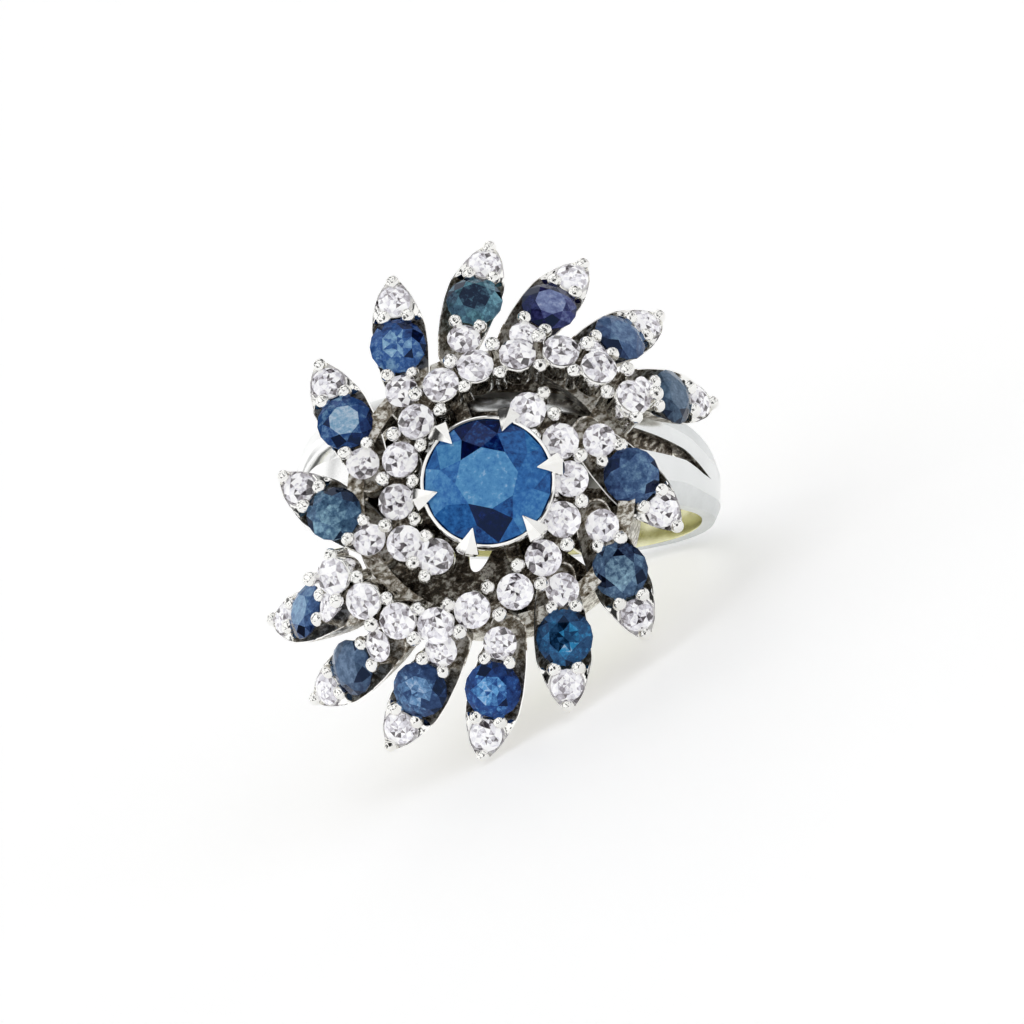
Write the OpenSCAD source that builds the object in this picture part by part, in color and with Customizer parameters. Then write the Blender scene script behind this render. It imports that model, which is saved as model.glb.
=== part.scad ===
// Sapphire and diamond cluster ring: a pinwheel of fourteen rays round two raised
// spiral arms and one central sapphire, on a split-shoulder shank. Millimetres.
// The ring is drawn upright first: finger axis along Y, cluster on top, at +Z. It is
// then laid on its side, with the centre of its finger hole at the origin.

/* [Shank] */
// Diameter of the finger hole
finger_d = 18.1; // [17.3:0.1:19]
// Thickness of the hoop
hoop_t = 0.9; // [0.8:0.05:1.2]
// Width of the hoop at the palm
palm_w = 2.2; // [1.8:0.1:2.6]
// Width of the hoop half way up
side_w = 2.7; // [2.4:0.1:3]
// Width over both bars where they pass under the cluster
shoulder_w = 5.2; // [4.6:0.1:6]
// Height above the finger axis at which the hoop splits in two
split_h = 2.6; // [2:0.1:4]
// Width of the split where the bars pass under the cluster
split_w = 2.6; // [1.6:0.1:3]

/* [Stones] */
// Diameter of the central sapphire
centre_d = 5.8; // [5.6:0.05:5.9]
// Diameter of the sapphire on each ray
sapphire_d = 2.6; // [2.5:0.05:2.65]
// Diameter of the diamond at the inner end of each ray
inner_d = 1.55; // [1.4:0.05:1.6]
// Diameter of the diamond at the tip of each ray
tip_d = 1.5; // [1.4:0.05:1.55]
// Diameter of the diamonds on the two arms
arm_d = 1.7; // [1.6:0.02:1.74]
// Clear space between the stones along a ray
stone_gap = 0.12; // [0.1:0.01:0.15]
// Clear space between a stone and its metal
seat_gap = 0.05; // [0.04:0.01:0.07]

/* [Cluster] */
// Height of the central sapphire's girdle above the finger axis
head_h = 13.2; // [13.1:0.1:13.6]
// How far the cluster sits forward of the middle of the shank
head_forward = 2.4; // [1.5:0.1:2.6]
// Outer radius of the gallery wall under the rays
gallery_r = 6.6; // [6.4:0.1:6.8]
// Thickness of the gallery wall
gallery_t = 0.8; // [0.7:0.05:1]
// Depth of a ray's metal body at its inner end
leaf_depth = 1.6; // [1.4:0.1:1.8]
// Depth of the collets along the arms
collet_depth = 1.1; // [1:0.05:1.2]
// Number of claws round the central sapphire
claws = 6; // [6:1:6]

/* [Resting pose] */
// First turn, about the finger axis, to lay the ring on its side
lie_roll = 47.7; // [44:0.01:50]
// Second turn, which tips the cluster's face down to the side
lie_lean = 50.86; // [48:0.01:54]
// Third turn, about the upright, to bring the cluster's face to the front
lie_turn = -51.66; // [-54:0.01:-48]

/* [Hidden] */
$fn = 64;
RAYS_N = 14;
finger_r = finger_d / 2;
hoop_r = finger_r + hoop_t;
far = 40;

// One row for each ray, clockwise from the top of the cluster:
// angle of its sapphire round the cluster, its radius, its drop below the central girdle,
// the compass heading of the ray, how far its outer end pitches down, in degrees, and the
// side on which its metal body is wide (1 is anticlockwise, -1 is clockwise).
ANGLE = 0; RADIUS = 1; DROP = 2; HEADING = 3; PITCH = 4; WIDE = 5;
rays = [
    [  95,   9.05, 2.2,   78, 23,  1],
    [  73.5, 9.2,  2.7,   58, 29,  1],
    [  52.5, 9.55, 3.8,   42, 45,  1],
    [  30.5, 9.5,  4.2,   10, 57,  1],
    [   5.5, 6.45, 1.9,  -47, 19, -1],
    [ -32.5, 6.95, 2.2,  -69, 13, -1],
    [ -64,   7.7,  1.7,  -88,  9, -1],
    [ -89.5, 9.2,  2.1, -101, 24,  1],
    [-110,   9.6,  2.7, -123, 30,  1],
    [-130,  10.1,  3.8, -153, 48,  1],
    [-150,  10,    4.2,  174, 56,  1],
    [-172.5, 7.25, 1.9,  141, 13, -1],
    [ 153.5, 7.5,  2.1,  113,  9, -1],
    [ 122,   8.05, 1.7,   95,  6, -1]];

// One row for each diamond of an arm, from the inner end: angle round the cluster,
// radius, drop below the central girdle, and outward lean of its face, in degrees.
LEAN = 3;
arm_a = [
    [-126.5, 4.1,  0.6,  4], [-146,   4.65, 0.9,  6], [-171.5, 4.3,  1,    8],
    [ 162,   4.3,  0.9, 10], [ 137.5, 4.55, 0.8, 12], [ 115,   5.25, 0.7, 15],
    [  96.5, 5.65, 0.7, 18], [  78,   6.25, 0.6, 22], [  62,   7.05, 0.5, 26],
    [  47,   7.4,  0.5, 30], [  31.5, 7.75, 0.7, 35]];
arm_b = [
    [  63,   3.9,  0.6,  4], [  32.5, 3.85, 0.9,  6], [   5,   3.7,  1,    8],
    [ -25.5, 3.7,  0.9, 10], [ -54,   4.2,  0.8, 12], [ -76.5, 5.1,  0.7, 15],
    [ -97.5, 5.85, 0.7, 18], [-110.5, 6.95, 0.6, 22], [-123.5, 7.55, 0.5, 26],
    [-137,   7.85, 0.5, 30], [-150,   8.25, 0.7, 35]];

// Proportions of a cut stone, as shares of its diameter
table_share = 0.56;
crown_share = 0.15;
girdle_share = 0.015;
pavilion_share = 0.42;

// Places along a ray, from the centre of its sapphire
inner_x = -(sapphire_d + inner_d) / 2 - stone_gap;
tip_x = (sapphire_d + tip_d) / 2 + stone_gap;
prong_r = 0.22;
tip_prong_x = tip_x + tip_d / 2 + seat_gap + prong_r;
leaf_end_x = tip_prong_x + 0.4;
leaf_root_x = inner_x - 1.3;
leaf_top = -0.3;

// A ray's metal body: its half plans on both sides, from its root to its point, and its depths
leaf_narrow = [[leaf_root_x, 0.55], [inner_x, 0.68], [0, 1.16], [tip_x - 0.4, 0.86],
    [tip_x + 0.5, 0.6]];
leaf_wide = [[leaf_root_x, 0.95], [inner_x, 1.25], [0, 1.4], [tip_x - 0.5, 1.1],
    [tip_x + 0.5, 0.6]];
leaf_depth_tip = 0.95;
leaf_depth_end = 0.45;
prong_top = 0.3;
prong_foot = -0.9;

// Struts from the rays to the gallery
strut_w = 0.8;
strut_t = 0.9;
strut_drop = 0.6;

// How far the cluster and its base plate stay clear of the finger
finger_room = 0.2;
// Base plate: how far inside the gallery and the hoop it ends, and its opening
plate_inset = 0.3;
plate_sink = 0.1;
plate_hole_r = 3.2;

// Gallery wall: its heights from the central girdle, and three openings on each side
gallery_top = -2;
gallery_low = -7;
gallery_hole_z = -3.7;
gallery_hole_r = 1.05;
gallery_pitch = 26;

// Cup of the central sapphire, and its four spokes
cup_rim_r = centre_d / 2 + 0.2;
cup_rim_z = 0.14;
cup_half = [[0, -3], [1.5, -3], [2.4, -1.9], [cup_rim_r, -0.5], [cup_rim_r, cup_rim_z],
    [0, cup_rim_z]];
spoke_w = 0.8;
spoke_low = -2.9;
first_spoke = 20;

// Claws of the central sapphire
first_claw = 13.5;
claw_post = [0.34, 0.6, 1.7];
claw_foot = -1.3;
claw_half_w = 0.36;
claw_len = 1.15;
claw_t = 0.34;
claw_z = 0.16;
claw_slope = 32;

// The two arms: their collets, the links between these, the wall below and the prongs
collet_r = 0.98;
collet_z = -0.25;
link_w = 1.2;
link_t = 1.1;
link_z = -0.45;
wall_t = 0.5;
wall_depth = 5;
arm_prong_out = 0.69;
arm_prong_foot = -1;
arm_prong_top = 0.25;

// Where a prong stands so that it clears the sapphire and a diamond of diameter d
// whose centre is x away along the ray
function prong_place(x, d) =
    let (a = sapphire_d / 2 + seat_gap + prong_r, b = d / 2 + seat_gap + prong_r,
         px = (a * a - b * b + x * x) / (2 * x))
    [px, sqrt(a * a - px * px)];
prong_in = prong_place(inner_x, inner_d);
prong_out = prong_place(tip_x, tip_d);

function polar(p) = [p[RADIUS] * cos(p[ANGLE]), p[RADIUS] * sin(p[ANGLE]), -p[DROP]];

// The whole ring, from upright to lying on its side
module laid() rotate([lie_lean, 0, lie_turn]) rotate([0, lie_roll, 0]) children();
module on_head() laid() translate([0, -head_forward, head_h]) children();
module facing(heading, pitch) rotate([0, 0, heading]) rotate([0, pitch, 0]) children();
module on_ray(r) translate(polar(r)) facing(r[HEADING], r[PITCH]) children();
module on_arm(s) translate(polar(s)) facing(s[ANGLE], s[LEAN]) children();
module along_finger(r, length) rotate([90, 0, 0]) cylinder(r = r, h = length, center = true);

// A box of width w and depth t that runs from p to q, its top on the line between them
module bar(p, q, w, t) {
    d = q - p;
    translate(p) rotate([0, -asin(d[2] / norm(d)), atan2(d[1], d[0])])
        translate([0, -w / 2, -t]) cube([norm(d), w, t]);
}

function ring_of(r, z, n) = [for (k = [0:n - 1]) [r * cos(360 * k / n), r * sin(360 * k / n), z]];

// A cut stone: a table, a crown of n facets, a girdle and a pavilion of n facets
module cut_stone(d, n) {
    g = girdle_share * d;
    points = concat(ring_of(d / 2, -g, n), ring_of(d / 2, g, n),
        ring_of(d * table_share / 2, crown_share * d, n), [[0, 0, -pavilion_share * d]]);
    sides = [for (level = [0, n], k = [0:n - 1])
        [level + k, level + n + k, level + n + (k + 1) % n, level + (k + 1) % n]];
    pavilion = [for (k = [0:n - 1]) [k, (k + 1) % n, 3 * n]];
    top = [[for (k = [0:n - 1]) 3 * n - 1 - k]];
    polyhedron(points, concat(sides, pavilion, top));
}

// The room that a stone needs in the metal
module stone_room(d) {
    g = girdle_share * d + seat_gap;
    r = d / 2 + seat_gap;
    rotate_extrude() polygon([[0, -pavilion_share * d - 1.5 * seat_gap], [r, -g], [r, g],
        [d * table_share / 2 + seat_gap, crown_share * d + seat_gap],
        [0, crown_share * d + seat_gap]]);
}

module prong(x, y, foot, top) translate([x, y, foot])
    cylinder(r = prong_r, h = top - foot, $fn = 8);

// Hoop of the shank, narrow at the palm and split in two towards the cluster
module shank() {
    top = finger_r + hoop_t / 2;
    outline = [[-palm_w / 2, -far], [palm_w / 2, -far], [palm_w / 2, -top], [side_w / 2, 0],
        [shoulder_w / 2, top], [shoulder_w / 2, far], [-shoulder_w / 2, far],
        [-shoulder_w / 2, top], [-side_w / 2, 0], [-palm_w / 2, -top]];
    split = [[0, split_h], [split_w / 2, top], [split_w / 2, far + 1],
        [-split_w / 2, far + 1], [-split_w / 2, top]];
    intersection() {
        difference() {
            along_finger(hoop_r, far);
            along_finger(finger_r, far + 1);
        }
        rotate([90, 0, 90]) linear_extrude(far + 1, center = true) difference() {
            polygon(outline);
            polygon(split);
        }
    }
}

// Base plate of the gallery, curved to the finger and open under the central sapphire
module base_plate() difference() {
    intersection() {
        along_finger(hoop_r - plate_sink, far);
        translate([0, -head_forward, 0]) cylinder(r = gallery_r - plate_inset, h = far);
    }
    along_finger(finger_r + finger_room, far + 1);
    translate([0, -head_forward, 0]) cylinder(r = plate_hole_r, h = far);
}

// Round wall under the rays, pierced on the two sides where it is tall
module gallery() difference() {
    translate([0, 0, gallery_low]) cylinder(r = gallery_r, h = gallery_top - gallery_low);
    cylinder(r = gallery_r - gallery_t, h = far, center = true);
    for (side = [0, 180], a = [-gallery_pitch, 0, gallery_pitch])
        rotate(side + a) translate([0, 0, gallery_hole_z]) rotate([0, 90, 0])
            cylinder(r = gallery_hole_r, h = far);
}

// Cup of the central sapphire, on four spokes that reach the gallery
module cup() {
    rotate_extrude() polygon(cup_half);
    for (k = [0:3]) rotate(first_spoke + 90 * k) translate([1, -spoke_w / 2, spoke_low])
        cube([gallery_r - 1 - gallery_t / 2, spoke_w, spoke_w]);
}

// One pointed claw, which lies on the crown of the central sapphire
module claw() {
    translate([centre_d / 2, -claw_post[1] / 2, claw_foot]) cube(claw_post);
    translate([centre_d / 2 + claw_post[0], 0, claw_z]) rotate([0, claw_slope, 0])
        linear_extrude(claw_t) polygon([[0, claw_half_w], [-claw_len, 0], [0, -claw_half_w]]);
}

// Body of one ray: a leaf in plan and a boat in side view
module leaf(r) on_ray(r) {
    last = len(leaf_wide) - 1;
    plan = concat([for (k = [0:last]) [leaf_narrow[k][0], -r[WIDE] * leaf_narrow[k][1]]],
        [[leaf_end_x, 0]],
        [for (k = [last:-1:0]) [leaf_wide[k][0], r[WIDE] * leaf_wide[k][1]]]);
    side_view = [[leaf_root_x, leaf_top], [leaf_end_x, leaf_top],
        [leaf_end_x, leaf_top - leaf_depth_end], [tip_x, leaf_top - leaf_depth_tip],
        [inner_x, leaf_top - leaf_depth], [leaf_root_x, leaf_top - leaf_depth]];
    intersection() {
        linear_extrude(far, center = true) polygon(plan);
        rotate([90, 0, 0]) linear_extrude(far, center = true) polygon(side_view);
    }
    for (side = [-1, 1], place = [prong_in, prong_out])
        prong(place[0], side * place[1], prong_foot, prong_top);
    prong(tip_prong_x, 0, leaf_top - leaf_depth_end / 2, prong_top);
}

// Strut from the root of a ray down to the gallery wall
module strut(r) {
    ahead = [cos(r[HEADING]), sin(r[HEADING]), 0];
    root = polar(r) + leaf_root_x * cos(r[PITCH]) * ahead
        - [0, 0, leaf_root_x * sin(r[PITCH]) + leaf_depth / 2];
    bearing = atan2(root[1], root[0]);
    foot_r = gallery_r - 0.75 * gallery_t;
    foot = [foot_r * cos(bearing), foot_r * sin(bearing), root[2] - strut_drop];
    bar(foot, root + ahead / 2, strut_w, strut_t);
}

// One raised arm: a row of collets, the links between them and the wall that carries them
module arm(stones) {
    last = len(stones) - 1;
    for (s = stones) on_arm(s) translate([0, 0, collet_z - collet_depth])
        cylinder(r = collet_r, h = collet_depth, $fn = 8);
    for (k = [0:last - 1]) {
        p = polar(stones[k]);
        q = polar(stones[k + 1]);
        bar(p + [0, 0, link_z], q + [0, 0, link_z], link_w, link_t);
        intersection() {
            bar(p + [0, 0, collet_z - collet_depth / 2], q + [0, 0, collet_z - collet_depth / 2],
                wall_t, wall_depth);
            cylinder(r = gallery_r - wall_t / 4, h = far, center = true);
        }
    }
}

// Wire prongs between the diamonds of an arm, one on each side
module arm_prongs(stones) for (k = [0:len(stones) - 2]) {
    p = polar(stones[k]);
    q = polar(stones[k + 1]);
    mid = (p + q) / 2;
    across = cross(q - p, [0, 0, 1]) / norm(q - p);
    for (side = [-1, 1]) translate(mid + side * arm_prong_out * across)
        facing(stones[k][ANGLE], stones[k][LEAN]) prong(0, 0, arm_prong_foot, arm_prong_top);
}

module all_seats() {
    stone_room(centre_d);
    for (s = concat(arm_a, arm_b)) on_arm(s) stone_room(arm_d);
    for (r = rays) on_ray(r) {
        stone_room(sapphire_d);
        translate([inner_x, 0, 0]) stone_room(inner_d);
        translate([tip_x, 0, 0]) stone_room(tip_d);
    }
}

// All the soldered metal is one solid
module mount() color("gainsboro") laid() {
    difference() {
        translate([0, -head_forward, head_h]) difference() {
            union() {
                cup();
                for (k = [0:claws - 1]) rotate(first_claw + k * 360 / claws) claw();
                gallery();
                arm(arm_a);
                arm(arm_b);
                arm_prongs(arm_a);
                arm_prongs(arm_b);
                for (r = rays) {
                    leaf(r);
                    strut(r);
                }
            }
            all_seats();
        }
        along_finger(finger_r + finger_room, far);
    }
    base_plate();
    shank();
}

module centre_sapphire() color("royalblue") on_head() cut_stone(centre_d, 16);

module arm_diamonds(stones) color("lavender") on_head()
    for (s = stones) on_arm(s) cut_stone(arm_d, 8);

module inner_diamonds() color("lavender") on_head()
    for (r = rays) on_ray(r) translate([inner_x, 0, 0]) cut_stone(inner_d, 8);

module ray_sapphire(i) color("midnightblue") on_head() on_ray(rays[i - 1])
    cut_stone(sapphire_d, 12);

module tip_diamond(i) color("white") on_head() on_ray(rays[i - 1])
    translate([tip_x, 0, 0]) cut_stone(tip_d, 8);

mount();
centre_sapphire();
arm_diamonds(arm_a);  // arm_a_diamonds
arm_diamonds(arm_b);  // arm_b_diamonds
inner_diamonds();
for (i = [1:RAYS_N]) {
    ray_sapphire(i);
    tip_diamond(i);
}
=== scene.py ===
# %% [markdown]
# # A pinwheel cluster ring of sapphires and diamonds
# The ring lies on its side, as it rests by itself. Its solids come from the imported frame. Here
# each of them gets the finish and the fine forms of the real piece.

import bpy
import numpy as np
from mathutils import Matrix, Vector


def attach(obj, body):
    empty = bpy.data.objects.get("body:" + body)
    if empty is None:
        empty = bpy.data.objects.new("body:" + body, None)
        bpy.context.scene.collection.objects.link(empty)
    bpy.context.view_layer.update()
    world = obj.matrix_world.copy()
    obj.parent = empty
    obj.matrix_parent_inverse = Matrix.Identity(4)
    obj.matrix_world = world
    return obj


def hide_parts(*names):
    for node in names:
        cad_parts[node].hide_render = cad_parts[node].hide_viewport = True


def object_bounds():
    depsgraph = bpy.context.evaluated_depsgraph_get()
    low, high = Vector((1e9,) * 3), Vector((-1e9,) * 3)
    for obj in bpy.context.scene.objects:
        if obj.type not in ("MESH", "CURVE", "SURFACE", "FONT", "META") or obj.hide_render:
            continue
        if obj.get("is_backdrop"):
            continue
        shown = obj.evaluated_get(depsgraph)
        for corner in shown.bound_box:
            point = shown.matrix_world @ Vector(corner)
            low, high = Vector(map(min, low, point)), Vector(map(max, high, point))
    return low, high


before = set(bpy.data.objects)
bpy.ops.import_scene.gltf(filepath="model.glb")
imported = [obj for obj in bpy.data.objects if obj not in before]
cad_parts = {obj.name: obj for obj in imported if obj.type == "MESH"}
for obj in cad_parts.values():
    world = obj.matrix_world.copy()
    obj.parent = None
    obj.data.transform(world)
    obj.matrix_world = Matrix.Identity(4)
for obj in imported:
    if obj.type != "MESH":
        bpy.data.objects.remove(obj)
cad_low, cad_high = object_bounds()
print("solids in the frame:", len(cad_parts))

MM = 0.001
HEAD = np.array([0.0, -2.4, 13.2])  # centre of the cluster, from that of the finger hole
LIE_ROLL, LIE_LEAN, LIE_TURN = 47.7, 50.86, -51.66  # degrees about Y, then X, then Z
FINGER_R, HOOP_R = 9.05, 9.95


# %% [markdown]
# ## Turning the ring on its side
# The ring is worked out upright, the finger axis along Y and the cluster's face up. Each object
# could be turned at the end, but all are to stay at the origin, so a matrix turns the points.

# %% Turns
def turn(axis, degrees):
    """Rotation matrices about X (0), Y (1) or Z (2), one for each angle given."""
    a = np.radians(np.asarray(degrees, float))
    m = np.zeros(a.shape + (3, 3))
    i, j = (axis + 1) % 3, (axis + 2) % 3
    m[..., axis, axis] = 1
    m[..., i, i] = m[..., j, j] = np.cos(a)
    m[..., i, j], m[..., j, i] = -np.sin(a), np.sin(a)
    return m


LAID = turn(2, LIE_TURN) @ turn(0, LIE_LEAN) @ turn(1, LIE_ROLL)


def from_ring(points):
    """Points of the upright ring, in millimetres, to the row frame in metres."""
    return points @ LAID.T * MM


def from_head(points):
    """Points measured from the centre of the cluster to the row frame."""
    return from_ring(points + HEAD)


print("the cluster's face looks towards", np.round(LAID[:, 2], 3))

# %% [markdown]
# ## Where the stones sit
# Fourteen rays turn round the centre, and two arms spiral over them. One ray could be repeated
# by a plain rotation, but on the real ring no two lie alike. So each ray has its own place,
# heading and pitch, and each diamond of an arm its own lean.

# %% Places of the rays and the arms
# Angle, radius and drop of the sapphire from the centre, the ray's heading, pitch and wide side
RAYS = np.array([
    [95, 9.05, 2.2, 78, 23, 1], [73.5, 9.2, 2.7, 58, 29, 1], [52.5, 9.55, 3.8, 42, 45, 1],
    [30.5, 9.5, 4.2, 10, 57, 1], [5.5, 6.45, 1.9, -47, 19, -1], [-32.5, 6.95, 2.2, -69, 13, -1],
    [-64, 7.7, 1.7, -88, 9, -1], [-89.5, 9.2, 2.1, -101, 24, 1], [-110, 9.6, 2.7, -123, 30, 1],
    [-130, 10.1, 3.8, -153, 48, 1], [-150, 10, 4.2, 174, 56, 1], [-172.5, 7.25, 1.9, 141, 13, -1],
    [153.5, 7.5, 2.1, 113, 9, -1], [122, 8.05, 1.7, 95, 6, -1]])
# Angle, radius, drop and outward lean of each diamond of an arm
ARM_A = np.array([
    [-126.5, 4.1, 0.6, 4], [-146, 4.65, 0.9, 6], [-171.5, 4.3, 1, 8], [162, 4.3, 0.9, 10],
    [137.5, 4.55, 0.8, 12], [115, 5.25, 0.7, 15], [96.5, 5.65, 0.7, 18], [78, 6.25, 0.6, 22],
    [62, 7.05, 0.5, 26], [47, 7.4, 0.5, 30], [31.5, 7.75, 0.7, 35]])
ARM_B = np.array([
    [63, 3.9, 0.6, 4], [32.5, 3.85, 0.9, 6], [5, 3.7, 1, 8], [-25.5, 3.7, 0.9, 10],
    [-54, 4.2, 0.8, 12], [-76.5, 5.1, 0.7, 15], [-97.5, 5.85, 0.7, 18], [-110.5, 6.95, 0.6, 22],
    [-123.5, 7.55, 0.5, 26], [-137, 7.85, 0.5, 30], [-150, 8.25, 0.7, 35]])
CENTRE_D, SAPPHIRE_D, INNER_D, TIP_D, ARM_D = 5.8, 2.6, 1.55, 1.5, 1.7
STONE_GAP = 0.12  # between the stones of a ray
INNER_X = -(SAPPHIRE_D + INNER_D) / 2 - STONE_GAP
TIP_X = (SAPPHIRE_D + TIP_D) / 2 + STONE_GAP


def polar(radius, angle, z):
    """Points round Z: a radius, an angle in radians and a height."""
    return np.stack(np.broadcast_arrays(radius * np.cos(angle), radius * np.sin(angle), z), -1)


def places(rows, heading, pitch):
    """Origins from angle, radius and drop, and axes turned to the heading and then pitched."""
    at = polar(rows[:, 1], np.radians(rows[:, 0]), -rows[:, 2])
    return at, turn(2, heading) @ turn(1, pitch)


RAY = places(RAYS, RAYS[:, 3], RAYS[:, 4])
ARMS = [places(rows, rows[:, 0], rows[:, 3]) for rows in (ARM_A, ARM_B)]


def along(where, x, y=0.0, z=0.0):
    """The same axes, with each origin moved by x, y and z along them."""
    at, axes = where
    return at + axes @ np.array([x, y, z]), axes


print("rays:", len(RAYS), "arm stones:", len(ARM_A) + len(ARM_B))


# %% [markdown]
# ## From arrays to meshes
# A form is an array of points with a few arrays of faces, each with its own finish. Blender
# could join finished objects as well, but slowly. A small class keeps the arrays together, so
# that forms are repeated and joined before they become one mesh.

# %% Shapes
class Shape:
    """A closed form in millimetres: points, and pairs of a finish and its rows of corners."""

    def __init__(self, points, faces):
        self.points = np.asarray(points, float).reshape(-1, 3)
        self.faces = [(m, f) for m, f in faces if len(f)]

    def outward(self):
        """Faces turned round if the volume that they enclose comes out negative."""
        volume, p = 0.0, self.points
        for _, f in self.faces:
            for k in range(1, f.shape[1] - 1):
                volume += (p[f[:, 0]] * np.cross(p[f[:, k]], p[f[:, k + 1]])).sum()
        if volume < 0:
            self.faces = [(m, f[:, ::-1]) for m, f in self.faces]
        return self

    def placed(self, where):
        """One copy at each place: rotated by its axes, then moved to its origin."""
        at, axes = where
        points = np.einsum("nij,pj->npi", axes, self.points) + at[:, None]
        shift = (np.arange(len(at)) * len(self.points))[:, None, None]
        return Shape(points, [(m, (f + shift).reshape(-1, f.shape[1])) for m, f in self.faces])

    def __add__(self, other):
        n = len(self.points)
        return Shape(np.vstack([self.points, other.points]),
                     self.faces + [(m, f + n) for m, f in other.faces])


def joined(shapes):
    """All the given shapes as one."""
    return sum(shapes, Shape([], []))


def merged(points, steps):
    """The first point of each group that falls on one step, of so many in a millimetre, and the
    group of each point."""
    _, first, group = np.unique(np.round(points * steps), axis=0, return_index=True,
                                return_inverse=True)
    return first, group.ravel()


def welded(points, quads, finish):
    """Coincident points made one. A quad that loses one corner becomes a triangle, and one that
    loses two is left out."""
    points = points.reshape(-1, 3)
    first, group = merged(points, 1e4)
    q = group[quads]
    same = q == np.roll(q, -1, 1)
    lost = same.sum(1)
    three = q[lost == 1]
    pick = (same[lost == 1].argmax(1)[:, None] + np.arange(1, 4)) % 4
    three = np.take_along_axis(three, pick, 1)
    finish = np.broadcast_to(finish, len(quads))
    faces = []
    for m in np.unique(finish):
        faces += [(m, q[(lost == 0) & (finish == m)]), (m, three[finish[lost == 1] == m])]
    return Shape(points[first], faces)


def grid(rows, cols, close_rows=False, close_cols=False):
    """Quads over a grid of points, row by row, closed round either way if asked."""
    i = np.arange(rows if close_rows else rows - 1)[:, None]
    j = np.arange(cols if close_cols else cols - 1)[None]
    i2, j2 = (i + 1) % rows, (j + 1) % cols
    corners = [i * cols + j, i * cols + j2, i2 * cols + j2, i2 * cols + j]
    return np.stack(corners, -1).reshape(-1, 4)


# %% [markdown]
# Three ways of making a form cover the whole ring: a turned profile for cups, collets and
# beads, a tube through sections for bars and claws, and a wall between two sheets for the
# gallery and the rays.

# %% Turned, lofted and walled forms
def revolved(profile, n, finish=0, closed=False):
    """A profile of (radius, height) carried round Z. A closed one is a ring, an open one starts
    and ends on the axis. finish may name one number for each edge of the profile."""
    profile = np.asarray(profile, float)
    a = np.radians(np.arange(n) * 360 / n)[:, None]
    points = polar(profile[:, 0], a, profile[:, 1])
    edges = len(profile) - (not closed)
    quads = grid(n, len(profile), close_rows=True, close_cols=closed)
    return welded(points, quads, np.tile(np.broadcast_to(finish, edges), n)).outward()


def lofted(sections, finish=0):
    """A tube through rows of section points, its two ends shut by one face each."""
    rows, cols = sections.shape[:2]
    ring = np.arange(cols)[None]
    faces = [(finish, grid(rows, cols, close_cols=True)), (finish, ring[:, ::-1]),
             (finish, ring + (rows - 1) * cols)]
    return Shape(sections, faces).outward()


def walled(outer, inner, quads, finish):
    """A closed wall between two sheets of the same quads: the outer one, the inner one turned
    round, and a strip along every free edge. Each of the three finishes may be a function of the
    middles of its faces."""
    outer, inner = np.reshape(outer, (-1, 3)), np.reshape(inner, (-1, 3))
    n = len(outer)
    edges = np.stack([quads, np.roll(quads, -1, 1)], -1).reshape(-1, 2)
    code = edges.min(1) * n + edges.max(1)
    _, first, count = np.unique(code, return_index=True, return_counts=True)
    a, b = edges[first[count == 1]].T
    strip = np.stack([b, a, a + n, b + n], 1)
    back = quads[:, ::-1] + n
    points, faces = np.vstack([outer, inner]), []
    for kind, group in zip(finish, (quads, back, strip)):
        kinds = kind(points[group].mean(1)) if callable(kind) else np.full(len(group), kind)
        faces += [(int(k), group[kinds == k]) for k in np.unique(kinds)]
    return Shape(points, faces).outward()


def rounded(half_w, half_t, n=12, power=4.0):
    """A rounded rectangle: |x/w| and |y/t|, each to the power, add up to one."""
    a = np.radians(np.arange(n) * 360 / n + 180 / n)
    c, s = np.cos(a), np.sin(a)
    return np.stack([half_w * np.sign(c) * np.abs(c) ** (2 / power),
                     half_t * np.sign(s) * np.abs(s) ** (2 / power)], 1)


def beam(p, q, half_w, half_t, finish):
    """A rounded bar from p to q, level across."""
    ahead = (q - p) / np.linalg.norm(q - p)
    across = np.cross([0, 0, 1], ahead)
    across = across / np.linalg.norm(across)
    over = np.cross(ahead, across)
    s = rounded(half_w, half_t)
    t = np.linspace(0, 1, 4)[:, None, None]
    return lofted(p + (q - p) * t + (s[:, :1] * across + s[:, 1:] * over), finish)
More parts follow.
